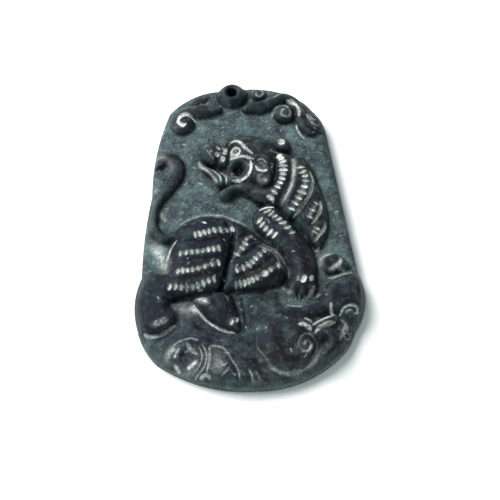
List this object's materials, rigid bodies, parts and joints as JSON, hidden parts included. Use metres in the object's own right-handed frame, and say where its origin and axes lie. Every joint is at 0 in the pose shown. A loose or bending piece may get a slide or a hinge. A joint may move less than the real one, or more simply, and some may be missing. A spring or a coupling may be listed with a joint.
{
  "type": "carved pendant",
  "caption": "Domed dark stone pendant carved in relief with a tiger under cloud scrolls, with coins and a scroll head below; hangs by a cord through its drilled bead.",
  "frame": {"origin": "under the middle of the plan box, on the flat back that the pendant lies on", "axes": "+Z out of the carved front, +Y along the pendant towards its bead, +X to the right as the front is seen"},
  "size_m": [0.0382, 0.0566, 0.0067],
  "materials": {
    "stone": "polished relief on a matt ground"
  },
  "bodies": {
    "root": {"pendant": "stone"}
  },
  "joints": []
}
